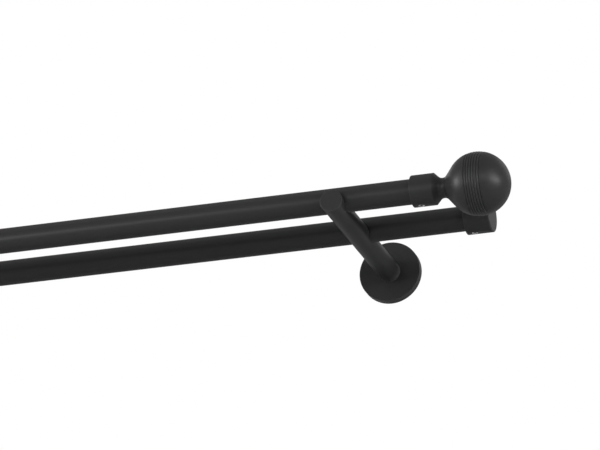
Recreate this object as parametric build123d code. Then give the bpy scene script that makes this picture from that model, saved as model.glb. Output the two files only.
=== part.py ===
from build123d import *
from math import cos, radians, sin, sqrt, tan
import os

# Double curtain pole: a front and a back pole that lie in open slots of two wall brackets.
# Millimetres. The wall is the plane Y = 0, the room lies towards -Y, X runs along the poles
# and Z is up. The origin is the middle of the four wall screw holes.

# Poles
pole_diameter = 20.0
pole_wall = 1.0
front_pole_length = 1200.0
front_pole_overhang = 79.3
back_pole_overhang = 104.3
front_pole_distance = 150.0
back_pole_distance = 84.0

# Bracket arms, each a round bar with two open slots
arm_diameter = 18.0
arm_reach = 165.0
arm_end_softening = 0.4
slot_play = 0.5
slot_floor_drop = 4.45

# Wall roses, each a shallow cup over a mounting disc
rose_diameter = 50.5
rose_thickness = 6.4
rose_face_thickness = 2.0
rose_rim_wall = 2.95
rose_edge_softening = 0.3

# Mounting discs with two wall screw holes above each other
disc_thickness = 4.0
disc_play = 0.3
disc_centre_hole = 13.0
wall_hole_spacing = 30.0
wall_hole_diameter = 4.5
wall_hole_countersink = 8.6
edge_groove_width = 3.4
edge_groove_depth = 0.6

# Screw that holds an arm to its rose, with a washer under its head
arm_screw_diameter = 6.0
arm_screw_length = 16.0
arm_screw_head_diameter = 10.5
arm_screw_head_height = 3.3
arm_screw_key = 4.0
arm_screw_key_depth = 2.0
arm_thread_spare = 1.7
washer_diameter = 11.0
washer_thickness = 0.7

# Grub screws
fitting_grub_diameter = 4.0
fitting_grub_length = 2.4
fitting_grub_key = 2.0
fitting_grub_from_rim = 6.8
rose_grub_diameter = 3.0
rose_grub_length = 3.0
rose_grub_key = 1.5
grub_key_share = 0.55

# Ball finials on the front pole
collar_diameter = 25.2
collar_length = 17.9
collar_slope = 45.0
collar_edge_softening = 0.4
neck_diameter = 15.8
neck_cove_radius = 4.9
ball_slope = 50.0
ball_diameter = 50.0
finial_grip = 17.2
groove_count = 7
groove_pitch = 2.0
groove_width = 1.1
groove_floor_width = 0.5
groove_depth = 0.6

# End caps on the back pole
cap_diameter = 26.3
cap_length = 21.2
cap_grip = 17.8
cap_rim_softening = 0.4
cap_end_softening = 0.9

# Fits
socket_play = 0.1
socket_end_play = 0.3
thread_play = 0.05
screw_hole_play = 0.2
rest_play = 0.05
rim_chamfer = 0.3

pole_radius = pole_diameter / 2
socket_radius = pole_radius + socket_play
slot_floor_z = -slot_floor_drop
pole_axis_z = slot_floor_z + pole_radius + rest_play
bracket_x = front_pole_length / 2 - front_pole_overhang
back_pole_length = 2 * (bracket_x + back_pole_overhang)
disc_radius = rose_diameter / 2 - rose_rim_wall - disc_play


def rod(radius, start, end, y=0.0, z=0.0):
    """A round bar along X from start to end."""
    return Pos(start, y, z) * Rot(0, 90, 0) * Cylinder(
        radius, end - start, align=(Align.CENTER, Align.CENTER, Align.MIN))


def stub(radius, back, front):
    """A round bar along Y, from its end nearer the wall to its end nearer the room."""
    return Pos(0, back, 0) * Rot(90, 0, 0) * Cylinder(
        radius, back - front, align=(Align.CENTER, Align.CENTER, Align.MIN))


def cone(back_radius, front_radius, back, front):
    """A taper along Y, for a countersink that opens towards the room."""
    return Pos(0, back, 0) * Rot(90, 0, 0) * Cone(
        back_radius, front_radius, back - front, align=(Align.CENTER, Align.CENTER, Align.MIN))


def hex_socket(across_flats, depth):
    """The hole for a hex key, from Z = 0 downwards."""
    outline = RegularPolygon(across_flats / 2, 6, major_radius=False)
    return Pos(0, 0, -depth) * extrude(outline, depth)


def grub_screw(diameter, length, key):
    """A grub screw that points down, with its key hole on top at Z = 0."""
    body = Pos(0, 0, -length) * Cylinder(
        diameter / 2, length, align=(Align.CENTER, Align.CENTER, Align.MIN))
    return body - hex_socket(key, length * grub_key_share)


def pole(length, distance):
    """A tube along X that lies in the slots at its distance from the wall."""
    half = length / 2
    tube = rod(pole_radius, -half, half) - rod(pole_radius - pole_wall, -half, half)
    return Pos(0, -distance, pole_axis_z) * tube


def slot(distance):
    """The open slot that one pole lies in: round at the bottom, with upright sides above it."""
    radius = pole_radius + slot_play
    centre_z = slot_floor_z + radius
    opening = Box(2 * arm_diameter, 2 * radius, arm_diameter, align=(Align.CENTER, Align.CENTER, Align.MIN))
    return rod(radius, -arm_diameter, arm_diameter, -distance, centre_z) + Pos(0, -distance, centre_z) * opening


def bracket_arm():
    """The round bar with its two slots and the thread for the screw from behind."""
    bar = stub(arm_diameter / 2, -rose_thickness, -arm_reach)
    front_edge = bar.edges().sort_by(Axis.Y)[0]
    bar = fillet(front_edge, arm_end_softening)
    bar -= slot(front_pole_distance)
    bar -= slot(back_pole_distance)
    seat = -rose_thickness + rose_face_thickness + washer_thickness
    thread_end = seat - arm_screw_length - arm_thread_spare
    return bar - stub(arm_screw_diameter / 2 + thread_play, -rose_thickness, thread_end)


def wall_rose():
    """The cup that hides the mounting disc, with a grub screw hole in the top of its rim."""
    cup = stub(rose_diameter / 2, 0, -rose_thickness)
    front_edge = cup.edges().sort_by(Axis.Y)[0]
    cup = fillet(front_edge, rose_edge_softening)
    cup -= stub(rose_diameter / 2 - rose_rim_wall, 0, rose_face_thickness - rose_thickness)
    cup -= stub(arm_screw_diameter / 2 + screw_hole_play, 0, -rose_thickness)
    hole = Cylinder(rose_grub_diameter / 2 + thread_play, rose_diameter / 2,
                    align=(Align.CENTER, Align.CENTER, Align.MIN))
    return cup - Pos(0, -disc_thickness / 2, 0) * hole


def mounting_disc():
    """The disc that is screwed to the wall, with a groove round its edge for the grub screw."""
    disc = stub(disc_radius, 0, -disc_thickness)
    disc -= stub(disc_centre_hole / 2, 0, -disc_thickness)
    half = edge_groove_width / 2
    middle = -disc_thickness / 2
    disc -= (stub(disc_radius + 1, middle + half, middle - half)
             - stub(disc_radius - edge_groove_depth, middle + half, middle - half))
    taper = (wall_hole_countersink - wall_hole_diameter) / 2
    for side in (-1, 1):
        place = Pos(0, 0, side * wall_hole_spacing / 2)
        disc -= place * stub(wall_hole_diameter / 2, 0, -disc_thickness)
        disc -= place * cone(wall_hole_diameter / 2, wall_hole_countersink / 2,
                             taper - disc_thickness, -disc_thickness)
    return disc


def rose_grub_screw():
    """The grub screw in the top of the rim, with its tip in the disc's groove."""
    tip = disc_radius - edge_groove_depth + rest_play
    screw = grub_screw(rose_grub_diameter, rose_grub_length, rose_grub_key)
    return Pos(0, -disc_thickness / 2, tip + rose_grub_length) * screw


def arm_screw():
    """The button head screw that comes from behind, through washer and rose, into the arm."""
    seat = -rose_thickness + rose_face_thickness + washer_thickness
    back = seat + arm_screw_head_height
    head = stub(arm_screw_head_diameter / 2, back, seat)
    head = fillet(head.edges().sort_by(Axis.Y)[-1], arm_screw_head_height / 2)
    screw = head + stub(arm_screw_diameter / 2, seat, seat - arm_screw_length)
    key = Pos(0, back, 0) * Rot(-90, 0, 0) * hex_socket(arm_screw_key, arm_screw_key_depth)
    return screw - key


def arm_washer():
    """The washer between the screw's head and the inside of the rose."""
    back = -rose_thickness + rose_face_thickness + washer_thickness
    ring = stub(washer_diameter / 2, back, back - washer_thickness)
    return ring - stub(arm_screw_diameter / 2 + screw_hole_play, back, back - washer_thickness)


def ball_finial():
    """The turned ball: collar, coved neck and ball in one piece, from its rim along +X."""
    collar_radius = collar_diameter / 2
    ball_radius = ball_diameter / 2
    down = radians(collar_slope)
    up = radians(ball_slope)
    cove_y = neck_diameter / 2 + neck_cove_radius
    cove_start_y = cove_y - neck_cove_radius * cos(down)
    cove_start_x = collar_length + (collar_radius - cove_start_y) / tan(down)
    neck_x = cove_start_x + neck_cove_radius * sin(down)
    cove_end_x = neck_x + neck_cove_radius * sin(up)
    cove_end_y = cove_y - neck_cove_radius * cos(up)
    ball_start_y = ball_radius * cos(up)
    ball_start_x = cove_end_x + (ball_start_y - cove_end_y) / tan(up)
    ball_x = ball_start_x + ball_radius * sin(up)
    tip = (ball_x + ball_radius, 0)
    outline = Polyline((0, 0), (0, collar_radius - rim_chamfer), (rim_chamfer, collar_radius),
                       (collar_length, collar_radius), (cove_start_x, cove_start_y))
    outline += ThreePointArc((cove_start_x, cove_start_y), (neck_x, neck_diameter / 2),
                             (cove_end_x, cove_end_y))
    outline += Line((cove_end_x, cove_end_y), (ball_start_x, ball_start_y))
    outline += ThreePointArc((ball_start_x, ball_start_y), (ball_x, ball_radius), tip)
    outline += Line(tip, (0, 0))
    section = make_face(outline)
    collar_edge = section.vertices().sort_by_distance((collar_length, collar_radius))[0]
    body = revolve(fillet(collar_edge, collar_edge_softening), Axis.X)
    body -= rod(socket_radius, 0, finial_grip + socket_end_play)
    body -= grub_hole(collar_radius)
    return body - ball_grooves(ball_x, ball_radius)


def ball_grooves(ball_x, ball_radius):
    """The fine turned grooves round the middle of the ball, as one set of cutting rings."""
    rings = []
    for index in range(groove_count):
        offset = (index - (groove_count - 1) / 2) * groove_pitch
        surface = sqrt(ball_radius ** 2 - offset ** 2)
        centre = ball_x + offset
        floor = surface - groove_depth
        lift = groove_depth
        slope = (groove_width - groove_floor_width) / 2
        section = Polyline(
            (centre - groove_floor_width / 2, floor),
            (centre + groove_floor_width / 2, floor),
            (centre + groove_floor_width / 2 + 2 * slope, floor + 2 * lift),
            (centre - groove_floor_width / 2 - 2 * slope, floor + 2 * lift),
            close=True)
        rings.append(revolve(make_face(section), Axis.X))
    return rings


def grub_hole(radius):
    """The threaded hole up through the underside of a collar, with its rim at X = 0."""
    hole = Cylinder(fitting_grub_diameter / 2 + thread_play, radius,
                    align=(Align.CENTER, Align.CENTER, Align.MAX))
    return Pos(fitting_grub_from_rim, 0, 0) * hole


def fitting_grub_screw():
    """The grub screw that presses up on a pole, in a collar with its rim at X = 0."""
    screw = Rot(180, 0, 0) * grub_screw(fitting_grub_diameter, fitting_grub_length, fitting_grub_key)
    tip = pole_radius + rest_play
    return Pos(fitting_grub_from_rim, 0, -tip - fitting_grub_length) * screw


def end_cap():
    """The plain cap of the back pole, a cup with its rim at X = 0."""
    cap = rod(cap_diameter / 2, 0, cap_length)
    cap = fillet(cap.edges().sort_by(Axis.X)[0], cap_rim_softening)
    cap = fillet(cap.edges().sort_by(Axis.X)[-1], cap_end_softening)
    cap -= rod(socket_radius, 0, cap_grip + socket_end_play)
    return cap - grub_hole(cap_diameter / 2)


def save(name, shape):
    """Writes one piece under the name of its node."""
    shape.label = name
    export_step(shape, f"parts/{name}.step")


def save_pair(name, shape):
    """Writes the right-hand piece and its mirror image on the left."""
    save(f"right_{name}", shape)
    save(f"left_{name}", mirror(shape, about=Plane.YZ))


os.makedirs("parts", exist_ok=True)

save("front_pole", pole(front_pole_length, front_pole_distance))
save("back_pole", pole(back_pole_length, back_pole_distance))

at_bracket = Pos(bracket_x, 0, 0)
save_pair("bracket_arm", at_bracket * bracket_arm())
save_pair("wall_rose", at_bracket * wall_rose())
save_pair("mounting_disc", at_bracket * mounting_disc())
save_pair("rose_grub_screw", at_bracket * rose_grub_screw())
save_pair("arm_screw", at_bracket * arm_screw())
save_pair("arm_washer", at_bracket * arm_washer())

at_finial = Pos(front_pole_length / 2 - finial_grip, -front_pole_distance, pole_axis_z)
save_pair("ball_finial", at_finial * ball_finial())
save_pair("finial_grub_screw", at_finial * fitting_grub_screw())

at_cap = Pos(back_pole_length / 2 - cap_grip, -back_pole_distance, pole_axis_z)
save_pair("end_cap", at_cap * end_cap())
save_pair("end_cap_grub_screw", at_cap * fitting_grub_screw())
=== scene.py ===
# %% [markdown]
# # Double curtain pole
#
# A front pole with two grooved ball finials and a back pole with two plain caps lie in the open
# slots of two wall brackets. Every visible piece is metal with a matt black powder coat. The
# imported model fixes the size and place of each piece. Its facets are coarse, so this file makes
# a fine mesh for each node, in the same place, and gives it its finish.

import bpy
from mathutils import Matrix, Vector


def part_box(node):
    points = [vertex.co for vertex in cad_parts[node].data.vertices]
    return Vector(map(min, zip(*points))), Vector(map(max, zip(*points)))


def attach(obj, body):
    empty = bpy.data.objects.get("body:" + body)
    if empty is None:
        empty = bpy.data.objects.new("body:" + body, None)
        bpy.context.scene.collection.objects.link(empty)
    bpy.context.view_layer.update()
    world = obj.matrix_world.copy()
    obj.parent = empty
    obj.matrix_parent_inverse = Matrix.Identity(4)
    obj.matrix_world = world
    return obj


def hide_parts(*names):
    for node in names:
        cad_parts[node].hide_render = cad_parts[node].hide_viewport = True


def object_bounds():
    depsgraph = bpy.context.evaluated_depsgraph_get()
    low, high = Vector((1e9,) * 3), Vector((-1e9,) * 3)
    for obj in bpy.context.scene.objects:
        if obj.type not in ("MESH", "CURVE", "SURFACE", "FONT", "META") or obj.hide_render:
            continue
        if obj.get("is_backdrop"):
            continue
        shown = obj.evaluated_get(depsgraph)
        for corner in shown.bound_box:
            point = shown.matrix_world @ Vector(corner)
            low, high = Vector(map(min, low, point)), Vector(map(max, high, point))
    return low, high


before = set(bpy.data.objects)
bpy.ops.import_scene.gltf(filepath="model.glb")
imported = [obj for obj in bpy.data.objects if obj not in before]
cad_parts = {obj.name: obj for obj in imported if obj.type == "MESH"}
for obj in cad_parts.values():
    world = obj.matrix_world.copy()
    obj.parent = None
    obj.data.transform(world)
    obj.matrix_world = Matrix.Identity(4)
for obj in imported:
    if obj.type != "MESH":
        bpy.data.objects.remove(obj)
cad_low, cad_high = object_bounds()
print("nodes in the frame:", len(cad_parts))

# %% [markdown]
# ## Units and the places of the pieces
#
# The frame is in metres and a maker of fittings thinks in millimetres, so outlines below are in
# millimetres and are multiplied by MM where a mesh is made. Places are read from the boxes of
# the nodes, which keeps the scene true to the model when a size changes there.

# %% Measure the frame
from functools import partial
from itertools import islice
from math import acos, atan2, cos, degrees, pi, radians, sin, sqrt, tan

import bmesh
import bpy
from mathutils import Vector

MM = 0.001
SIDES = (("left", -1), ("right", 1))


def box_mm(node):
    """Lowest and highest corner of a node in millimetres."""
    low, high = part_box(node)
    return low / MM, high / MM


def middle(node):
    """The middle of a node's box in millimetres."""
    low, high = box_mm(node)
    return (low + high) / 2


front_low, front_high = box_mm("front_pole")
pole_radius = (front_high.z - front_low.z) / 2
bracket_x = middle("right_bracket_arm").x
arm_low, arm_high = box_mm("right_bracket_arm")
print(f"poles {2 * pole_radius:.1f} mm thick, brackets at {bracket_x:.0f} mm from the middle")

# %% [markdown]
# ## Helpers for nodes and objects
#
# The world, the finishes and the lathe below are trees of nodes. A node has a kind, settings
# and inputs, and an input is a plain value or a link from another node. One helper does all of
# that, so a tree reads like a list of its steps. Node groups need named sockets too, and every
# mesh, lamp and camera needs an object that shows it.

# %% Add a node, sockets or an object


def add_node(tree, kind, inputs=None, **settings):
    """A node with its settings. Each input is a socket to link or a plain value."""
    node = tree.nodes.new(kind)
    for name, value in settings.items():
        setattr(node, name, value)
    for key, value in (inputs or {}).items():
        if isinstance(value, bpy.types.NodeSocket):
            tree.links.new(value, node.inputs[key])
        else:
            node.inputs[key].default_value = value
    return node


def math_node(tree, operation, first, second=0.0):
    """The result of a math node whose two inputs are sockets or plain numbers."""
    node = add_node(tree, "ShaderNodeMath", {0: first, 1: second}, operation=operation)
    return node.outputs[0]


def add_sockets(tree, inputs, outputs):
    """Named inputs of a node group, with kind and usual value, and its named outputs."""
    for name, kind, value in inputs:
        socket = tree.interface.new_socket(name, in_out="INPUT", socket_type="NodeSocket" + kind)
        if value is not None:
            socket.default_value = value
    for name, kind in outputs:
        tree.interface.new_socket(name, in_out="OUTPUT", socket_type="NodeSocket" + kind)


def add_object(name, data):
    """An object in the scene that shows a mesh, a lamp or a camera."""
    thing = bpy.data.objects.new(name, data)
    bpy.context.scene.collection.objects.link(thing)
    return thing


# %% [markdown]
# ## Camera
#
# The poles hang above eye level, and the photograph looks up at their right end through a long
# lens. The edges of the poles, the arm and the rose, and the outline of the ball, fix where the
# camera stands and which way it looks. Directions are given as a turn and a height in degrees.

# %% Camera at the photograph's angle
camera_place = (1.49353, -3.28632, -1.33635)
camera_azimuth = 17.72
camera_elevation = -21.92
camera_lens = 273.78
sensor_width = 36.0
far_limit = 100.0
half_pixel = 0.5 / 600


def direction(turn, height):
    """A direction turned to the right of the room's side and raised, both in degrees."""
    turn, height = radians(turn), radians(height)
    return Vector((sin(turn) * cos(height), -cos(turn) * cos(height), sin(height)))


def set_camera():
    """Puts the camera where the photograph was taken from."""
    data = bpy.data.cameras.new("camera")
    data.sensor_width = sensor_width
    data.lens = camera_lens
    data.shift_x = -half_pixel
    data.shift_y = half_pixel
    data.clip_end = far_limit
    camera = add_object("camera", data)
    back = direction(camera_azimuth, camera_elevation)
    camera.location = camera_place
    camera.rotation_mode = "QUATERNION"
    camera.rotation_quaternion = (-back).to_track_quat("-Z", "Y")
    bpy.context.scene.camera = camera
    print("camera looks along", tuple(round(value, 3) for value in -back))


bpy.context.scene.view_settings.view_transform = "Standard"
set_camera()

# %% [markdown]
# ## Surroundings
#
# The background is plain white. The world lights nothing and shows white only to rays that
# come from the camera or a reflection. The floor lies 2.2 m below the poles and fades into the
# white, so no horizon shows. Seen from below it is clear and hides nothing.

# %% World and floor
floor_drop = 2.2
floor_size = 60.0
floor_colour = (0.80, 0.80, 0.80, 1.0)
floor_near = 3.0
floor_far = 6.0


def seen_rays(tree):
    """A value of 1 for rays that show a picture: camera, mirror and glass rays."""
    rays = tree.nodes.new("ShaderNodeLightPath").outputs
    seen = math_node(tree, "MAXIMUM", rays["Is Camera Ray"], rays["Is Glossy Ray"])
    return math_node(tree, "MAXIMUM", seen, rays["Is Transmission Ray"])


def set_world():
    """White where it is seen, dark where it would only light."""
    world = bpy.data.worlds.new("white_room")
    world.use_nodes = True
    tree = world.node_tree
    background = tree.nodes["Background"].inputs
    background["Color"].default_value = (1.0, 1.0, 1.0, 1.0)
    tree.links.new(seen_rays(tree), background["Strength"])
    bpy.context.scene.world = world


def floor_finish():
    """Pale matt floor that turns into plain white with distance, clear from below."""
    material = bpy.data.materials.new("pale_floor")
    material.use_nodes = True
    tree = material.node_tree
    tree.nodes.clear()
    place = tree.nodes.new("ShaderNodeTexCoord").outputs["Object"]
    distance = add_node(tree, "ShaderNodeVectorMath", {0: place}, operation="LENGTH")
    fade = add_node(tree, "ShaderNodeMapRange", {
        "Value": distance.outputs["Value"], "From Min": floor_near, "From Max": floor_far},
        interpolation_type="SMOOTHSTEP")
    white_share = math_node(tree, "MULTIPLY", fade.outputs["Result"], seen_rays(tree))
    matt = add_node(tree, "ShaderNodeBsdfDiffuse", {"Color": floor_colour})
    white = add_node(tree, "ShaderNodeEmission", {"Strength": 1.0})
    pale = add_node(tree, "ShaderNodeMixShader", {
        "Fac": white_share, 1: matt.outputs[0], 2: white.outputs[0]})
    clear = tree.nodes.new("ShaderNodeBsdfTransparent")
    below = tree.nodes.new("ShaderNodeNewGeometry").outputs["Backfacing"]
    both = add_node(tree, "ShaderNodeMixShader", {
        "Fac": below, 1: pale.outputs[0], 2: clear.outputs[0]})
    add_node(tree, "ShaderNodeOutputMaterial", {"Surface": both.outputs[0]})
    return material


def lay_floor():
    """One large square below the poles that faces up."""
    half = floor_size / 2
    mesh = bpy.data.meshes.new("floor")
    corners = [(-half, -half), (half, -half), (half, half), (-half, half)]
    mesh.from_pydata([(x, y, -floor_drop) for x, y in corners], [], [(0, 1, 2, 3)])
    mesh.materials.append(floor_finish())
    floor = add_object("floor", mesh)
    floor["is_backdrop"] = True


set_world()
lay_floor()
print(f"floor {floor_drop} m below the poles")

# %% [markdown]
# ## Lamps
#
# A black object shows its form by what it reflects. In the photograph a wide light on the left
# and a low, wide one on the right lie level with the ball. Their reflections are the tall patch
# and the flat band on it, and the left one throws the arm's shadow over the rose. Each lamp is a
# panel far away, so that both ends of the poles get the same light.

# %% Soft panels
lamp_target = Vector((0.45, -0.10, 0.0))
lamp_distance = 5.0
lamps = (
    # name, turn, height, width, tallness, strength in watts
    ("left_front", -28, 0, 1.2, 1.2, 74),
    ("left_middle", -42, 2, 1.2, 1.6, 32),
    ("left_side", -70, 5, 1.2, 1.6, 200),
    ("left_high", -55, 24, 1.6, 1.2, 20),
    ("right_front", 31, 4, 1.8, 0.8, 46),
    ("right_middle", 64, 2, 1.6, 0.8, 105),
    ("right_side", 81, 0, 1.6, 0.8, 125),
    ("right_high", 64, 18, 2.4, 1.0, 42),
    ("top_left", -60, 65, 2.4, 2.4, 12),
    ("behind_left", -140, 25, 2.4, 2.4, 40),
    ("behind_right", 150, 35, 2.4, 2.4, 30),
)


def hang_lamp(name, turn, height, width, tallness, strength):
    """One soft rectangular lamp that faces the object."""
    data = bpy.data.lights.new(name, "AREA")
    data.shape = "RECTANGLE"
    data.size = width
    data.size_y = tallness
    data.energy = strength
    lamp = add_object(name, data)
    away = direction(turn, height)
    lamp.location = lamp_target + away * lamp_distance
    lamp.rotation_mode = "QUATERNION"
    lamp.rotation_quaternion = away.to_track_quat("Z", "Y")
    lamp.visible_camera = False


for values in lamps:
    hang_lamp(*values)
print("lamps:", [values[0] for values in lamps])

# %% [markdown]
# ## Finishes
#
# A powder coat is sprayed on as dust and melted, so it has a fine, slightly pebbled skin and a
# soft gloss that varies a little from place to place. Bare metal has a fine grain too. Both are
# the same pattern at other sizes and strengths, so one node group serves every finish. It gives
# out a colour, a roughness, a share for a clear layer's gloss and a height. It reads Object
# coordinates, in metres, so the pattern keeps its real size.

# %% A fine skin for every finish
pebble_to_grain = 4.0
grain_to_pebble_height = 0.4


def noise_node(group, vector, size, detail):
    """Noise whose bumps have about the given size in metres."""
    scale = math_node(group, "DIVIDE", 1.0, size)
    return add_node(group, "ShaderNodeTexNoise", {
        "Vector": vector, "Scale": scale, "Detail": detail}).outputs["Fac"]


def skin_group():
    """Fine grain plus a slow drift of tone and gloss."""
    group = bpy.data.node_groups.new("fine_skin", "ShaderNodeTree")
    add_sockets(group, (
        ("Colour", "Color", (0.03, 0.03, 0.03, 1.0)), ("Roughness", "Float", 0.5),
        ("Grain Size", "Float", 0.0004), ("Drift Size", "Float", 0.03),
        ("Tone Change", "Float", 0.1), ("Gloss Change", "Float", 0.05)),
        (("Colour", "Color"), ("Roughness", "Float"), ("Gloss Share", "Float"), ("Height", "Float")))
    start = group.nodes.new("NodeGroupInput").outputs
    place = group.nodes.new("ShaderNodeTexCoord").outputs["Object"]
    calc = partial(math_node, group)
    grain = noise_node(group, place, start["Grain Size"], 2.0)
    pebble_size = calc("MULTIPLY", start["Grain Size"], pebble_to_grain)
    pebble = noise_node(group, place, pebble_size, 1.0)
    drift = noise_node(group, place, start["Drift Size"], 3.0)
    centred = calc("SUBTRACT", calc("ADD", drift, grain), 1.0)
    tone = calc("ADD", calc("MULTIPLY", centred, start["Tone Change"]), 1.0)
    shade = add_node(group, "ShaderNodeVectorMath", {0: start["Colour"], "Scale": tone},
                     operation="SCALE")
    gloss = calc("MULTIPLY", centred, start["Gloss Change"])
    grain_height = calc("MULTIPLY", grain, grain_to_pebble_height)
    add_node(group, "NodeGroupOutput", {
        "Colour": shade.outputs[0],
        "Roughness": calc("ADD", start["Roughness"], gloss),
        "Gloss Share": calc("SUBTRACT", 1.0, gloss),
        "Height": calc("ADD", grain_height, pebble)})
    return group


fine_skin = skin_group()
print("skin inputs:", [item.name for item in fine_skin.interface.items_tree if item.in_out == "INPUT"])

# %% [markdown]
# ## Thin coat and painted highlight on the edges
#
# Powder draws back from a sharp edge while it melts, and bare metal is rubbed bright there.
# On top of that, edges are painted a touch lighter than the flats beside them: a painted
# highlight that stands in for the light an edge catches. Each mesh below stores how sharp it
# is at every point in an attribute named edge. A second group reads it and mixes two colours,
# which costs nothing to render.

# %% Edge group: thin coat and painted highlight
wear_and_sheen_patch_size = 0.0015


def edge_wear_and_sheen_group():
    """Mixes a lighter colour in where the mesh is sharp: a thinner coat and a painted highlight."""
    group = bpy.data.node_groups.new("edge_wear_and_sheen", "ShaderNodeTree")
    add_sockets(group, (
        ("Colour", "Color", (0.03, 0.03, 0.03, 1.0)),
        ("Edge Wear And Sheen Colour", "Color", (0.06, 0.06, 0.06, 1.0)), ("Amount", "Float", 0.5)),
        (("Colour", "Color"),))
    start = group.nodes.new("NodeGroupInput").outputs
    sharp = add_node(group, "ShaderNodeAttribute", attribute_name="edge").outputs["Fac"]
    place = group.nodes.new("ShaderNodeTexCoord").outputs["Object"]
    # The lighter edge colour is partly a painted highlight, broken into patches by noise.
    share = math_node(group, "MULTIPLY", sharp, start["Amount"])
    share = math_node(group, "MULTIPLY", share, noise_node(group, place, wear_and_sheen_patch_size, 2.0))
    mix = add_node(group, "ShaderNodeMix", {
        "Factor": share, "A": start["Colour"], "B": start["Edge Wear And Sheen Colour"]}, data_type="RGBA")
    add_node(group, "NodeGroupOutput", {"Colour": mix.outputs["Result"]})
    return group


edge_wear_and_sheen = edge_wear_and_sheen_group()

# %% [markdown]
# ## The three finishes
#
# One recipe makes all three: skin, then edge, where a lighter colour paints a highlight onto sharp
# edges, then the shader, with a bump from the skin's height. The powder coat is a matt black body
# under a thin clear layer with a soft gloss, and the skin varies how much of that layer shows.
# What is the same all over a surface, such as the metal share, is set on the shader itself.

# %% Powder coat, black oxide and zinc


def finish(name, colour, roughness, grain, drift, tone, gloss, edge, edge_wear_and_sheen_share, bump,
           layer=0.0, **fixed):
    """One material from the two groups and a shader with fixed values."""
    material = bpy.data.materials.new(name)
    material.use_nodes = True
    tree = material.node_tree
    shader = tree.nodes["Principled BSDF"].inputs
    for socket, value in fixed.items():
        shader[socket.replace("_", " ")].default_value = value
    skin = add_node(tree, "ShaderNodeGroup", {
        "Colour": (*colour, 1.0), "Roughness": roughness, "Grain Size": grain * MM,
        "Drift Size": drift * MM, "Tone Change": tone, "Gloss Change": gloss},
        node_tree=fine_skin).outputs
    # The edge group paints sharp edges lighter: thin coat on the powder, rubbed metal on steel and
    # zinc, and a painted highlight on all of them.
    edges = add_node(tree, "ShaderNodeGroup", {
        "Colour": skin["Colour"], "Edge Wear And Sheen Colour": (*edge, 1.0), "Amount": edge_wear_and_sheen_share},
        node_tree=edge_wear_and_sheen).outputs
    relief = add_node(tree, "ShaderNodeBump", {
        "Strength": 1.0, "Distance": bump * MM, "Height": skin["Height"]}).outputs
    tree.links.new(edges["Colour"], shader["Base Color"])
    tree.links.new(skin["Roughness"], shader["Roughness"])
    tree.links.new(relief["Normal"], shader["Normal"])
    if layer:
        coat_weight = math_node(tree, "MULTIPLY", skin["Gloss Share"], layer)
        tree.links.new(coat_weight, shader["Coat Weight"])
    print("finish", name, "colour", colour)
    return material


# The edge colours are lighter than the bodies: partly thin coat and rubbed metal, partly a painted
# highlight.
black_coat = finish(
    "black_powder_coat", colour=(0.0158, 0.0158, 0.0164), roughness=0.60, grain=0.35, drift=35.0,
    tone=0.10, gloss=0.10, edge=(0.060, 0.060, 0.062), edge_wear_and_sheen_share=0.8, bump=0.008,
    layer=0.25, Specular_IOR_Level=0.0, Coat_Roughness=0.38)
black_oxide = finish(
    "black_oxide_steel", colour=(0.090, 0.090, 0.094), roughness=0.34, grain=0.12, drift=2.0,
    tone=0.25, gloss=0.10, edge=(0.30, 0.30, 0.30), edge_wear_and_sheen_share=0.9, bump=0.003, Metallic=1.0)
zinc = finish(
    "zinc_plate", colour=(0.56, 0.57, 0.585), roughness=0.30, grain=0.15, drift=9.0,
    tone=0.16, gloss=0.16, edge=(0.68, 0.68, 0.68), edge_wear_and_sheen_share=0.8, bump=0.003, Metallic=1.0)

# %% [markdown]
# ## Outlines with softened corners
#
# A turned piece is an outline spun round an axis. Real edges are never quite sharp: a tool or
# the coat leaves a tenth of a millimetre or two. The helper takes corners as distance along the
# axis, radius and softness, and turns each soft one into a short arc. A point on each side of
# the arc keeps smooth shading from bending over the flat beside it.

# %% Soft corners
arc_steps = 4


def arc(centre, radius, start, end, steps):
    """Points along an arc of the outline, angles in degrees, both ends included."""
    angles = [radians(start + (end - start) * step / steps) for step in range(steps + 1)]
    return [(centre[0] + radius * cos(angle), centre[1] + radius * sin(angle)) for angle in angles]


def soft_corner(before, corner, after, softness):
    """The arc that replaces one corner, with a guard point on each side."""
    corner = Vector(corner)
    into = corner - Vector(before)
    out = Vector(after) - corner
    room = min(into.length, out.length)
    into.normalize()
    out.normalize()
    turn = into.angle(out)
    reach = softness * tan(turn / 2)
    inward = (out - into).normalized()
    centre = corner + inward * softness / cos(turn / 2)
    first = corner - into * reach - centre
    last = corner + out * reach - centre
    start = atan2(first.y, first.x)
    sweep = (atan2(last.y, last.x) - start + pi) % (2 * pi) - pi
    points = arc(centre, softness, degrees(start), degrees(start + sweep), arc_steps)
    if room > 3 * reach:
        points = [tuple(corner - into * 2 * reach), *points, tuple(corner + out * 2 * reach)]
    return points


def soft_outline(corners, closed=False):
    """Rounds the corners that have a softness. A closed outline ends where it starts."""
    places = [corner[:2] for corner in corners]
    rows = []
    for index, corner in enumerate(corners):
        if len(corner) == 2:
            rows.append(corner)
        else:
            after = places[(index + 1) % len(places)]
            rows += soft_corner(places[index - 1], places[index], after, corner[2])
    return rows + rows[:1] if closed else rows


print("a soft right angle becomes", len(soft_corner((0, 0), (5, 0), (5, 5), 0.3)), "points")

# %% [markdown]
# ## The lathe, as Geometry Nodes
#
# Poles, finials, caps, roses, discs and screws are all turned, so one node tree makes them all.
# It lays a grid with one row for each point of the outline and one column for each step round
# the axis, and moves every grid point to its place. Two attributes of the outline change the
# rule: flats bends a ring into a hexagon for a key, and thread presses a helical groove into it.
# Points that fall together are merged, which closes the seam and the ends on the axis.

# %% Build the lathe tree
thread_crest = 0.06
thread_root = 0.44
weld_distance = 0.000002


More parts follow.
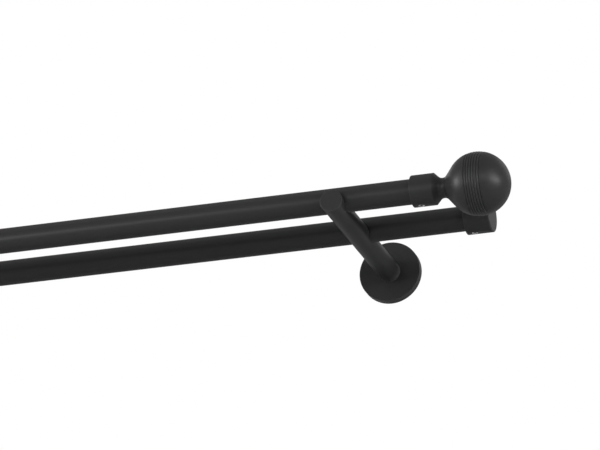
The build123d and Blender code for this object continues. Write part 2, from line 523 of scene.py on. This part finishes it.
def lathe_tree():
    """Spins the points of an outline round the X axis, then turns and places the result."""
    tree = bpy.data.node_groups.new("lathe", "GeometryNodeTree")
    add_sockets(tree, (
        ("Outline", "Geometry", None), ("Steps Around", "Int", 96),
        ("Thread Pitch", "Float", 0.001), ("Thread Depth", "Float", 0.0),
        ("Turn", "Vector", None), ("Place", "Vector", None), ("Finish", "Material", None)),
        (("Piece", "Geometry"),))
    start = tree.nodes.new("NodeGroupInput").outputs
    outline = start["Outline"]
    steps = start["Steps Around"]
    calc = partial(math_node, tree)

    count = add_node(tree, "GeometryNodeAttributeDomainSize", {"Geometry": outline})
    columns = calc("ADD", steps, 1)
    grid = add_node(tree, "GeometryNodeMeshGrid", {
        "Vertices X": count.outputs["Point Count"], "Vertices Y": columns})
    index = tree.nodes.new("GeometryNodeInputIndex").outputs[0]
    row = calc("FLOOR", calc("DIVIDE", index, columns))
    share = calc("DIVIDE", calc("MODULO", index, columns), steps)
    angle = calc("MULTIPLY", share, 2 * pi)

    def from_outline(value, kind):
        """A value of the outline's point that belongs to this grid row."""
        node = add_node(tree, "GeometryNodeSampleIndex", {
            "Geometry": outline, "Value": value, "Index": row}, data_type=kind)
        return node.outputs["Value"]

    def mark(name):
        """A named attribute of the outline, read for this grid row."""
        node = add_node(tree, "GeometryNodeInputNamedAttribute", {"Name": name}, data_type="FLOAT")
        return from_outline(node.outputs["Attribute"], "FLOAT")

    position = tree.nodes.new("GeometryNodeInputPosition").outputs[0]
    split = add_node(tree, "ShaderNodeSeparateXYZ", {0: from_outline(position, "FLOAT_VECTOR")})
    along = split.outputs["X"]

    in_flat = calc("SUBTRACT", calc("MODULO", calc("ADD", angle, pi / 6), pi / 3), pi / 6)
    stretch = calc("DIVIDE", 1.0, calc("COSINE", in_flat))
    bend = calc("MULTIPLY", mark("flats"), calc("SUBTRACT", stretch, 1.0))
    bent = calc("MULTIPLY", split.outputs["Y"], calc("ADD", bend, 1.0))

    phase = calc("ADD", calc("DIVIDE", along, start["Thread Pitch"]), share)
    cut = add_node(tree, "ShaderNodeMapRange", {
        "Value": calc("PINGPONG", phase, 0.5),
        "From Min": thread_crest, "From Max": thread_root})
    depth = calc("MULTIPLY", mark("thread"), start["Thread Depth"])
    groove = calc("MULTIPLY", cut.outputs["Result"], depth)
    radius = calc("SUBTRACT", bent, groove)

    point = add_node(tree, "ShaderNodeCombineXYZ", {
        "X": along,
        "Y": calc("MULTIPLY", radius, calc("SINE", angle)),
        "Z": calc("MULTIPLY", radius, calc("COSINE", angle))})
    piece = add_node(tree, "GeometryNodeSetPosition", {
        "Geometry": grid.outputs["Mesh"], "Position": point.outputs[0]})
    spin = add_node(tree, "FunctionNodeEulerToRotation", {0: start["Turn"]})
    for kind, inputs in (
            ("GeometryNodeMergeByDistance", {"Distance": weld_distance}),
            ("GeometryNodeTransform", {"Translation": start["Place"], "Rotation": spin.outputs[0]}),
            ("GeometryNodeRealizeInstances", {}),
            ("GeometryNodeSetMaterial", {"Material": start["Finish"]})):
        piece = add_node(tree, kind, {"Geometry": piece.outputs["Geometry"], **inputs})
    add_node(tree, "NodeGroupOutput", {"Piece": piece.outputs["Geometry"]})
    return tree


lathe = lathe_tree()
print("lathe tree:", len(lathe.nodes), "nodes")

# %% [markdown]
# ## Using the lathe
#
# The outline goes in as loose points of a mesh, with the two marks as attributes. A modifier
# knows its inputs by identifiers, so the helper looks those up. The result becomes a plain mesh
# at once, so nothing later has to wait for the tree.

# %% Turn a piece
TOWARDS_ROOM = (0.0, 0.0, -pi / 2)
UPWARDS = (0.0, -pi / 2, 0.0)
DOWNWARDS = (0.0, pi / 2, 0.0)
TO_THE_RIGHT = (0.0, 0.0, 0.0)
TO_THE_LEFT = (0.0, 0.0, pi)
large_steps = 192
small_steps = 48


def set_inputs(modifier, values):
    """Sets a node tree's inputs on a modifier, by the identifiers of their sockets."""
    for item in modifier.node_group.interface.items_tree:
        if item.name in values:
            modifier[item.identifier] = values[item.name]


def plain_mesh(piece):
    """Turns what the modifiers show into the piece's own mesh and removes them."""
    shown = piece.evaluated_get(bpy.context.evaluated_depsgraph_get())
    mesh = bpy.data.meshes.new_from_object(shown)
    piece.modifiers.clear()
    old = piece.data
    piece.data = mesh
    bpy.data.meshes.remove(old)
    mesh.name = piece.name


def turned(name, rows, steps, turn, place, material, pitch=1.0, depth=0.0):
    """A turned piece from outline rows (along, radius) or (along, radius, flats, thread)."""
    rows = [tuple(row) + (0.0,) * (4 - len(row)) for row in rows]
    mesh = bpy.data.meshes.new(name)
    mesh.from_pydata([(row[0] * MM, row[1] * MM, 0.0) for row in rows], [], [])
    for label, column in (("flats", 2), ("thread", 3)):
        mark = mesh.attributes.new(label, "FLOAT", "POINT")
        mark.data.foreach_set("value", [row[column] for row in rows])
    piece = add_object(name, mesh)
    modifier = piece.modifiers.new("lathe", "NODES")
    modifier.node_group = lathe
    set_inputs(modifier, {
        "Steps Around": steps, "Thread Pitch": pitch * MM, "Thread Depth": depth * MM,
        "Turn": turn, "Place": tuple(value * MM for value in place), "Finish": material})
    plain_mesh(piece)
    return piece


# %% [markdown]
# ## Drilling holes
#
# Roses, collars and caps have a hole for a grub screw, and the mounting discs have countersunk
# ones. A hole is a turned cutter that is taken away from the piece. It is wider at the mouth,
# which leaves the small bevel of a drilled hole.

# %% Cut a hole


def drilled(piece, rows, turn, place, steps=small_steps):
    """Takes a turned cutter away from a piece."""
    cutter = turned("cutter", rows, steps, turn, place, None)
    modifier = piece.modifiers.new("hole", "BOOLEAN")
    modifier.operation = "DIFFERENCE"
    modifier.solver = "EXACT"
    modifier.object = cutter
    plain_mesh(piece)
    bpy.data.objects.remove(cutter)


# %% [markdown]
# ## Handing a piece over
#
# Faces are smooth, with sharp lines only where the surface really turns, and the edge attribute
# is filled in. Then the piece rides on the one body of this model and stands for its node. The
# printed volume is positive only for faces that point outwards.

# %% Finish a piece
sharp_angle = radians(35.0)
edge_starts = radians(6.0)
edge_full = radians(40.0)


def fill_edges(mesh):
    """Stores from 0 to 1 how sharp the mesh is at each point, outward edges only."""
    work = bmesh.new()
    work.from_mesh(mesh)
    sharp = [0.0] * len(work.verts)
    for line in work.edges:
        if len(line.link_faces) == 2 and line.is_convex:
            share = (line.calc_face_angle(0.0) - edge_starts) / (edge_full - edge_starts)
            for point in line.verts:
                sharp[point.index] = max(sharp[point.index], min(1.0, share))
    loose = sum(len(line.link_faces) != 2 for line in work.edges)
    volume = work.calc_volume(signed=True)
    work.free()
    # This sharpness decides where the lighter edge colour, partly a painted highlight, goes.
    mark = mesh.attributes.new("edge", "FLOAT", "POINT")
    mark.data.foreach_set("value", sharp)
    return volume, loose


def hand_over(piece, node):
    """Shades a finished piece, puts it on its body and lets it stand for its node."""
    mesh = piece.data
    mesh.shade_smooth()
    mesh.set_sharp_from_angle(angle=sharp_angle)
    volume, loose = fill_edges(mesh)
    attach(piece, "root")
    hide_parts(node)
    cubic_mm = volume / MM ** 3
    print(f"{piece.name}: {len(mesh.polygons)} faces, {cubic_mm:.0f} mm3, {loose} open edges")


# %% [markdown]
# ## Poles
#
# Each pole is a plain steel tube, 20 mm thick with a 1 mm wall. Its outline is a long, thin,
# closed rectangle. Extra rows along the tube keep the faces from being metres of sliver.

# %% Front and back pole
pole_wall = 1.0
pole_end_softness = 0.15
pole_row_length = 25.0
pole_steps = 96


def make_pole(name):
    """A tube between the ends of its node's box."""
    low, high = box_mm(name)
    half = (high.x - low.x) / 2
    inner = pole_radius - pole_wall
    count = int(2 * half / pole_row_length)
    corners = [
        (-half, pole_radius, pole_end_softness),
        *((half * (2 * row / count - 1), pole_radius) for row in range(1, count)),
        (half, pole_radius, pole_end_softness), (half, inner, pole_end_softness),
        (-half, inner, pole_end_softness)]
    rows = soft_outline(corners, closed=True)
    pole = turned(f"{name}_tube", rows, pole_steps, TO_THE_RIGHT, middle(name), black_coat)
    hand_over(pole, name)


for name in ("front_pole", "back_pole"):
    make_pole(name)

# %% [markdown]
# ## Ball finials
#
# A finial is turned from one bar: a collar that slips over the pole, a coved neck and a ball
# with seven fine grooves round its middle. The neck is a cove between two cones: one comes
# down from the collar, the other runs smoothly on into the ball. The grooves follow a rule:
# each is the same small trapezium in the ball, one pitch from the last, and the lands between
# them are rounded.

# %% Outline of a finial
collar_radius = 12.6
collar_length = 17.9
collar_slope = 45.0
collar_edge_softness = 0.4
neck_radius = 7.9
neck_cove_radius = 4.9
ball_slope = 50.0
ball_radius = 25.0
finial_socket_depth = 17.5
socket_radius = 10.1
socket_softness = 0.2
rim_softness = 0.3
groove_count = 7
groove_pitch = 2.0
groove_width = 1.1
groove_floor = 0.5
groove_depth = 0.6
groove_softness = 0.08
land_softness = 0.65

down = radians(collar_slope)
up = radians(ball_slope)
cove_height = neck_radius + neck_cove_radius
cone_drop = collar_radius - cove_height + neck_cove_radius * cos(down)
neck_along = collar_length + cone_drop / tan(down) + neck_cove_radius * sin(down)
cone_rise = (ball_radius + neck_cove_radius) * cos(up) - cove_height
ball_along = neck_along + cone_rise / tan(up) + (ball_radius + neck_cove_radius) * sin(up)


def on_ball(offset):
    """The ball's radius round the axis at an offset from its middle."""
    return sqrt(ball_radius ** 2 - offset ** 2)


def ball_rows():
    """The outline over the ball, from its cone to the tip, with its grooves."""
    half = groove_count * groove_pitch / 2
    edge = degrees(acos(half / ball_radius))
    centre = (ball_along, 0.0)
    rows = arc(centre, ball_radius, 90 + ball_slope, 180 - edge, 24)
    corners = [(ball_along - half, on_ball(half))]
    for number in range(groove_count):
        offset = (number - (groove_count - 1) / 2) * groove_pitch
        floor = on_ball(offset) - groove_depth
        left = offset - groove_width / 2
        right = offset + groove_width / 2
        corners += [(ball_along + left, on_ball(left), land_softness),
                    (ball_along + offset - groove_floor / 2, floor, groove_softness),
                    (ball_along + offset + groove_floor / 2, floor, groove_softness),
                    (ball_along + right, on_ball(right), land_softness)]
    corners.append((ball_along + half, on_ball(half)))
    rows += soft_outline(corners)[1:-1]
    return rows + arc(centre, ball_radius, edge, 0, 44)


def cup_corners(depth, radius, softness):
    """Corners from the middle of a socket's floor, past its wall, to the outer rim."""
    return [(depth, 0.0), (depth, socket_radius, socket_softness),
            (0.0, socket_radius, socket_softness), (0.0, radius, softness)]


def finial_rows():
    """The whole outline of a finial, from inside its socket to its tip."""
    cove = arc((neck_along, cove_height), neck_cove_radius, 270 - collar_slope, 270 + ball_slope, 28)
    rows = soft_outline([
        *cup_corners(finial_socket_depth, collar_radius, rim_softness),
        (collar_length, collar_radius, collar_edge_softness), cove[0]])
    return rows[:-1] + cove + ball_rows()


print(f"ball middle {ball_along:.2f} mm from the rim, {len(finial_rows())} outline points")

# %% [markdown]
# A finial and a cap slip over the pole's end in the same way, and the grub screw that holds one
# sits in a hole in its underside. So one function makes both.

# %% Make the finials
fitting_hole_radius = 2.05
hole_mouth = 0.2
cutter_past = 1.0


def hole_cutter(radius, bottom, top):
    """A straight hole whose mouth, at the top, is bevelled."""
    return [(bottom, 0.0), (bottom, radius), (top - hole_mouth, radius),
            (top + cutter_past, radius + hole_mouth + cutter_past), (top + cutter_past, 0.0)]


def make_fitting(name, node, screw_node, rows, steps, radius):
    """A finial or an end cap on its end of the pole, with its screw hole."""
    low, high = box_mm(node)
    to_right = low.x > 0
    place = (low.x if to_right else high.x, (low.y + high.y) / 2, (low.z + high.z) / 2)
    turn = TO_THE_RIGHT if to_right else TO_THE_LEFT
    fitting = turned(name, rows, steps, turn, place, black_coat)
    screw = middle(screw_node)
    hole = hole_cutter(fitting_hole_radius, socket_radius - cutter_past, radius)
    drilled(fitting, hole, DOWNWARDS, (screw.x, screw.y, place[2]))
    hand_over(fitting, node)


for side in ("left", "right"):
    make_fitting(f"{side}_ball", f"{side}_ball_finial", f"{side}_finial_grub_screw",
                 finial_rows(), large_steps, collar_radius)

# %% [markdown]
# ## End caps
#
# The back pole ends in plain caps: short cups with a slightly softened rim and end.

# %% Make the end caps
cap_radius = 13.15
cap_length = 21.2
cap_socket_depth = 18.1
cap_rim_softness = 0.4
cap_end_softness = 0.9
cap_steps = 144

cap_rows = soft_outline([
    *cup_corners(cap_socket_depth, cap_radius, cap_rim_softness),
    (cap_length, cap_radius, cap_end_softness), (cap_length, 0.0)])
for side in ("left", "right"):
    make_fitting(f"{side}_cap", f"{side}_end_cap", f"{side}_end_cap_grub_screw",
                 cap_rows, cap_steps, cap_radius)

# %% [markdown]
# ## Wall roses
#
# The rose is a shallow cup that hides the fixing to the wall. The arm stands on its face, and a
# screw holds both together from inside. A tiny grub screw in the top of the rim locks it on
# the mounting disc. The outline is closed, because a hole runs through the face.

# %% Make the roses
rose_low, rose_high = box_mm("right_wall_rose")
rose_radius = (rose_high.z - rose_low.z) / 2
rose_thickness = rose_high.y - rose_low.y
rose_face_thickness = 2.0
rose_rim_wall = 2.95
rose_softness = 0.3
rose_inner_softness = 0.2
rose_edge_softness = 0.1
rose_hole_radius = 1.55
rose_hole_steps = 36
arm_screw_radius = 3.0
screw_passage = arm_screw_radius + 0.2
disc_thickness = 4.0

cup_floor = rose_thickness - rose_face_thickness
cup_radius = rose_radius - rose_rim_wall
rose_rows = soft_outline([
    (0.0, rose_radius, rose_edge_softness), (rose_thickness, rose_radius, rose_softness),
    (rose_thickness, screw_passage, rose_edge_softness),
    (cup_floor, screw_passage, rose_edge_softness), (cup_floor, cup_radius, rose_softness),
    (0.0, cup_radius, rose_inner_softness)], closed=True)
rose_hole = hole_cutter(rose_hole_radius, cup_radius - cutter_past, rose_radius)
for side, sign in SIDES:
    place = (sign * bracket_x, 0.0, 0.0)
    rose = turned(f"{side}_rose", rose_rows, large_steps, TOWARDS_ROOM, place, black_coat)
    drilled(rose, rose_hole, UPWARDS, (place[0], -disc_thickness / 2, 0.0), rose_hole_steps)
    hand_over(rose, f"{side}_wall_rose")

# %% [markdown]
# ## Mounting discs
#
# Behind each rose a zinc plated disc is screwed to the wall through two countersunk holes. A
# groove round its edge takes the tip of the grub screw.

# %% Make the discs
disc_radius = 22.0
disc_centre_hole = 6.5
wall_hole_spacing = 30.0
wall_hole_radius = 2.25
countersink_radius = 4.3
edge_groove_width = 3.4
edge_groove_depth = 0.6
disc_softness = 0.06
disc_hole_softness = 0.15


def disc_rows():
    """Closed outline of the disc with the groove round its edge."""
    groove_start = (disc_thickness - edge_groove_width) / 2
    groove_end = disc_thickness - groove_start
    bottom = disc_radius - edge_groove_depth
    outer = [(0.0, disc_radius), (groove_start, disc_radius), (groove_start, bottom),
             (groove_end, bottom), (groove_end, disc_radius), (disc_thickness, disc_radius)]
    inner = [(disc_thickness, disc_centre_hole), (0.0, disc_centre_hole)]
    return soft_outline([(*place, disc_softness) for place in outer]
                        + [(*place, disc_hole_softness) for place in inner], closed=True)


for side, sign in SIDES:
    place = (sign * bracket_x, 0.0, 0.0)
    disc = turned(f"{side}_disc", disc_rows(), large_steps, TOWARDS_ROOM, place, zinc)
    taper = countersink_radius - wall_hole_radius
    outside = disc_thickness + cutter_past
    rows = [(-cutter_past, 0.0), (-cutter_past, wall_hole_radius),
            (disc_thickness - taper, wall_hole_radius), (disc_thickness, countersink_radius),
            (outside, countersink_radius + cutter_past), (outside, 0.0)]
    for height in (-wall_hole_spacing / 2, wall_hole_spacing / 2):
        drilled(disc, rows, TOWARDS_ROOM, (place[0], 0.0, height))
    hand_over(disc, f"{side}_mounting_disc")

# %% [markdown]
# ## Screws and washers
#
# A grub screw is a short threaded pin with a hexagonal socket and a bevelled tip. The arm screw
# has a low rounded head. Both use the lathe's marks: rows marked thread get the helical groove,
# and rows marked flats become hexagons. Eight rows for each turn of a thread show its slopes.

# %% Outlines of the screws
rows_per_turn = 8


def thread_rows(start, end, radius, pitch):
    """Rows along a threaded length."""
    count = max(2, round((end - start) / pitch * rows_per_turn))
    return [(start + (end - start) * row / count, radius, 0.0, 1.0) for row in range(count + 1)]


def socket_rows(top, key, depth):
    """Rows down into a hexagonal socket, from its mouth to the middle of its drilled floor."""
    flat = key / 2
    mouth = 0.1 * key
    return [(top, flat + mouth), (top - mouth, flat, 1.0), (top - depth * 0.5, flat, 1.0),
            (top - depth + mouth, flat, 1.0), (top - depth + mouth, flat * 0.92),
            (top - depth, 0.0)]


def grub_screw_rows(radius, length, key, pitch):
    """A grub screw from the middle of its tip to the middle of its socket."""
    bevel = 0.25 * pitch + 0.15
    rows = [(0.0, 0.0), (0.0, radius - 2 * bevel), (0.0, radius - 1.6 * bevel)]
    rows += thread_rows(bevel, length - 0.2, radius, pitch)
    rows += [(length - 0.1, radius - 0.12), (length, radius - 0.3)]
    return rows + socket_rows(length, key, length * 0.55)


# %% [markdown]
# Each grub screw is placed by the middle of its node, with its socket outwards: downwards in
# the fittings and upwards in the roses.

# %% Make the grub screws
fitting_grub = {"radius": 2.0, "length": 2.4, "key": 2.0, "pitch": 0.7}
rose_grub = {"radius": 1.5, "length": 3.0, "key": 1.5, "pitch": 0.5}
thread_depth_share = 0.55


def make_grub_screw(node, turn, outwards, radius, length, key, pitch):
    """A grub screw whose socket faces up (1) or down (-1)."""
    centre = middle(node)
    place = (centre.x, centre.y, centre.z - outwards * length / 2)
    rows = grub_screw_rows(radius, length, key, pitch)
    depth = pitch * thread_depth_share
    screw = turned(f"{node}_set", rows, small_steps, turn, place, black_oxide, pitch, depth)
    hand_over(screw, node)


for side, sign in SIDES:
    for holder in ("finial", "end_cap"):
        make_grub_screw(f"{side}_{holder}_grub_screw", DOWNWARDS, -1, **fitting_grub)
    make_grub_screw(f"{side}_rose_grub_screw", UPWARDS, 1, **rose_grub)

# %% [markdown]
# The arm screw comes from the wall side, so its head is at the back and its socket faces the
# wall. A flat washer spreads its load.

# %% Make the arm screws and washers
head_radius = 5.25
head_height = 3.3
arm_screw_key = 4.0
arm_screw_key_depth = 2.0
arm_screw_pitch = 1.0
arm_screw_steps = 72
washer_radius = 5.5
washer_thickness = 0.7
washer_softness = 0.12
washer_steps = 96
seat = cup_floor - washer_thickness
head_back = seat - head_height


def arm_screw_rows(length):
    """The screw from the middle of its socket, over head and thread, to its tip."""
    dome = head_height / 2
    socket = socket_rows(0.0, arm_screw_key, arm_screw_key_depth)
    rows = [(head_back - row[0], *row[1:]) for row in reversed(socket)]
    rows += [(head_back, head_radius - dome - 0.5)]
    rows += arc((head_back + dome, head_radius - dome), dome, 180, 90, 10)
    rows += soft_outline([(head_back + dome, head_radius), (seat, head_radius, 0.15),
                          (seat, arm_screw_radius)])[1:]
    rows += thread_rows(seat, seat + length - 1.0, arm_screw_radius, arm_screw_pitch)[1:]
    return rows + [(seat + length, arm_screw_radius - 0.9), (seat + length, 0.0)]


washer_rows = soft_outline([(along, radius, washer_softness) for along, radius in (
    (seat, washer_radius), (cup_floor, washer_radius),
    (cup_floor, screw_passage), (seat, screw_passage))], closed=True)
for side, sign in SIDES:
    place = (sign * bracket_x, 0.0, 0.0)
    length = -box_mm(f"{side}_arm_screw")[0].y - seat
    screw = turned(
        f"{side}_button_screw", arm_screw_rows(length), arm_screw_steps, TOWARDS_ROOM, place,
        black_oxide, arm_screw_pitch, arm_screw_pitch * thread_depth_share)
    hand_over(screw, f"{side}_arm_screw")
    washer = turned(f"{side}_washer", washer_rows, washer_steps, TOWARDS_ROOM, place, zinc)
    hand_over(washer, f"{side}_arm_washer")

# %% [markdown]
# ## Bracket arms
#
# An arm is a round bar with two open slots milled into its top, where the poles lie. The lathe
# can't make it, and cutting it with another shape leaves ragged faces along the edges, so it is
# built row by row. Each section of the bar is a ring that is whole between the slots and open
# under them. The edge of a slot is one closed loop: over the top of the bar, down, round the
# slot's bottom and up again. Five rows follow that loop, two on the bar, one on the softened
# edge and two in the slot, so the light runs cleanly along it.

# %% Sizes of an arm
arm_radius = (arm_high.x - arm_low.x) / 2
arm_start = -arm_high.y
arm_end = -arm_low.y
slot_play = 0.5
slot_radius = pole_radius + slot_play
slot_floor = -4.45
arm_end_softness = 0.4
slot_softness = 0.25
guard = 2.5
lower_steps = 24
upper_steps = 20
bottom_steps = 18
ring_spacing = 8.0
arm_thread_radius = 3.05
arm_thread_end = 21.4
end_face_inset = 1.2

slot_middle = slot_floor + slot_radius
open_angle = acos(-slot_middle / arm_radius)
top_step = (pi - open_angle) / upper_steps
top_turns = [open_angle + top_step * step for step in range(2 * upper_steps + 1)]
slot_places = (-middle("back_pole").y, -middle("front_pole").y)
print(f"arm {2 * arm_radius:.0f} mm thick, slots at {slot_places[0]:.0f} and {slot_places[1]:.0f} mm")

# %% [markdown]
# One side of a slot's edge is a list of places: the distance from the wall, the height, and the
# direction in which the cut surface faces. The half round of the bottom gives both.

# %% The edge of a slot


def slot_edge(centre):
    """Places along one side of a slot: distance, height and the cut's facing (along, up)."""
    places = []
    for step in range(bottom_steps + 1):
        angle = radians(90 * step / bottom_steps)
        along = centre - slot_radius * cos(angle)
        places.append((along, slot_middle - slot_radius * sin(angle), cos(angle), sin(angle)))
    mirrored = [(2 * centre - along, height, -facing, up)
                for along, height, facing, up in reversed(places[:-1])]
    return places + mirrored


def edge_rows(x, along, height, facing, up):
    """The rows across the softened edge at one place: bar guard, bar, edge, cut, cut guard."""
    place = Vector((x, along, height))
    bar = Vector((x, 0.0, height)) / arm_radius
    cut = Vector((0.0, facing, up))
    if up == 0.0 and height > slot_middle + 1e-6:
        inward = -bar
    else:
        inward = Vector((-1.0 if x > 0 else 1.0, 0.0, 0.0))
    outward = bar.cross(bar.cross(cut)).normalized()
    if outward.dot(cut) > 0:
        outward = -outward
    half = (pi - bar.angle(cut)) / 2
    pull = slot_softness * tan(half) * (1 / sin(half) - 1)
    rows = []
    for reach in (guard, 1.0):
        point = place + outward * slot_softness * reach
        ring = sqrt(point.x ** 2 + point.z ** 2)
        rows.append(Vector((point.x * arm_radius / ring, point.y, point.z * arm_radius / ring)))
    edge = place - (bar + cut).normalized() * pull
    return [*rows, edge, *(place + inward * slot_softness * reach for reach in (1.0, guard))]


def half_width(height):
    """How far the bar's surface is from its middle plane at a height."""
    return sqrt(arm_radius ** 2 - height ** 2)


print("places along one side of a slot:", len(slot_edge(0.0)))

# %% [markdown]
# A column is one ring of points. Between the slots it is whole, and under a slot it has only
# its lower part. Faces join each column to the next, and the ends and slots close the shell.

# %% Build an arm


def lower_turns(angle):
    """Angles from the bottom of the bar, between -angle and +angle."""
    return [angle * step / lower_steps for step in range(-lower_steps, lower_steps + 1)]


class ArmShell:
    """Collects the points and faces of one arm, in millimetres from the wall fixing."""

    def __init__(self, x):
        self.x = x
        self.points = []
        self.faces = []

    def point(self, x, along, height):
        """Adds a point and returns its number."""
        self.points.append(((self.x + x) * MM, -along * MM, height * MM))
        return len(self.points) - 1

    def ring(self, along, turns, radius=arm_radius):
        """Points round the bar's axis, at angles from the bottom."""
        return [self.point(radius * sin(turn), along, -radius * cos(turn)) for turn in turns]

    def lower(self, along, angle):
        """The lower part of a ring, from -angle to +angle."""
        return self.ring(along, lower_turns(angle))

    def upper(self, along, lower):
        """The rest of the ring, from the lower part's right end over the top to its left end."""
        return [lower[-1], *self.ring(along, top_turns[1:-1]), lower[0]]

    def strip(self, first, second, closed=False):
        """Faces between two rows of points."""
        count = len(first)
        for index in range(count if closed else count - 1):
            after = (index + 1) % count
            self.faces.append((first[index], first[after], second[after], second[index]))

    def close(self, column, profile):
        """Closes one end: rings of given distance and radius, then a flat face."""
        turns = lower_turns(open_angle) + top_turns[1:-1]
        ring = [*column[0], *column[1][1:-1]]
        for along, radius in profile:
            following = self.ring(along, turns, radius)
            self.strip(ring, following, closed=True)
            ring = following
        self.faces.append(tuple(ring))


def bar_stretch(shell, start, end):
    """Whole columns between two distances, both included."""
    count = max(1, round((end - start) / ring_spacing))
    columns = []
    for step in range(count + 1):
        along = start + (end - start) * step / count
        lower = shell.lower(along, open_angle)
        columns.append((lower, shell.upper(along, lower)))
    for column, following in zip(columns, columns[1:]):
        shell.strip(column[0], following[0])
        shell.strip(column[1], following[1])
    return columns


def cut_slot(shell, centre, before, after):
    """The open stretch between two whole columns, with its edge, walls and round bottom."""
    near, *inside, far = slot_edge(centre)
    guards = []
    for place in inside:
        outer = edge_rows(half_width(place[1]), *place)[0]
        guards.append(shell.lower(outer.y, atan2(outer.x, -outer.z)))
    columns = [before[0], *guards, after[0]]
    for first, second in zip(columns, columns[1:]):
        shell.strip(first, second)

    over_top = [[(arm_radius * sin(turn), along, -arm_radius * cos(turn), facing, 0.0)
                 for turn in top_turns]
                for along, facing in ((near[0], 1.0), (far[0], -1.0))]
    loop = [*over_top[0], *((-half_width(place[1]), *place) for place in inside),
            *reversed(over_top[1]), *((half_width(place[1]), *place) for place in reversed(inside))]
    rows = [[*before[1], *(column[0] for column in guards),
             *reversed(after[1]), *(column[-1] for column in reversed(guards))]]
    crossings = [edge_rows(*place) for place in loop]
    for level in range(1, 5):
        rows.append([shell.point(*crossing[level]) for crossing in crossings])
    for first, second in zip(rows, rows[1:]):
        shell.strip(first, second, closed=True)

    inner = iter(rows[-1])
    near_wall, left, far_wall, right = [
        list(islice(inner, count)) for count in (len(top_turns), len(inside)) * 2]
    shell.faces += [tuple(near_wall), tuple(far_wall)]
    shell.strip([near_wall[0], *reversed(right), far_wall[-1]],
                [near_wall[-1], *left, far_wall[0]])


def make_arm(side, sign):
    """One arm, with a softened rim at the room end and a threaded hole at the wall end."""
    shell = ArmShell(sign * bracket_x)
    margin = slot_softness * guard
    starts = [arm_start, *(place + slot_radius + margin for place in slot_places)]
    ends = [*(place - slot_radius - margin for place in slot_places), arm_end - arm_end_softness]
    stretches = [bar_stretch(shell, start, end) for start, end in zip(starts, ends)]
    for centre, before, after in zip(slot_places, stretches, stretches[1:]):
        cut_slot(shell, centre, before[-1], after[0])
    rim_middle = (arm_end - arm_end_softness, arm_radius - arm_end_softness)
    rim = arc(rim_middle, arm_end_softness, 90, 0, arc_steps)
    shell.close(stretches[-1][-1], [*rim[1:], (arm_end, arm_radius - end_face_inset)])
    thread = [(along, arm_thread_radius) for along in (arm_start, arm_thread_end)]
    shell.close(stretches[0][0], thread)
    mesh = bpy.data.meshes.new(f"{side}_arm")
    mesh.from_pydata(shell.points, [], shell.faces)
    work = bmesh.new()
    work.from_mesh(mesh)
    bmesh.ops.recalc_face_normals(work, faces=work.faces)
    work.to_mesh(mesh)
    work.free()
    mesh.materials.append(black_coat)
    hand_over(add_object(f"{side}_arm", mesh), f"{side}_bracket_arm")


for side, sign in SIDES:
    make_arm(side, sign)

# %% [markdown]
# ## Size
#
# The dressed model has to keep the size of the imported one. The largest difference between the
# two boxes is printed.

# %% Compare the boxes and finish
low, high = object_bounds()
differences = [abs(a - b) for a, b in zip((*low, *high), (*cad_low, *cad_high))]
print("largest difference in mm:", max(differences) / MM)
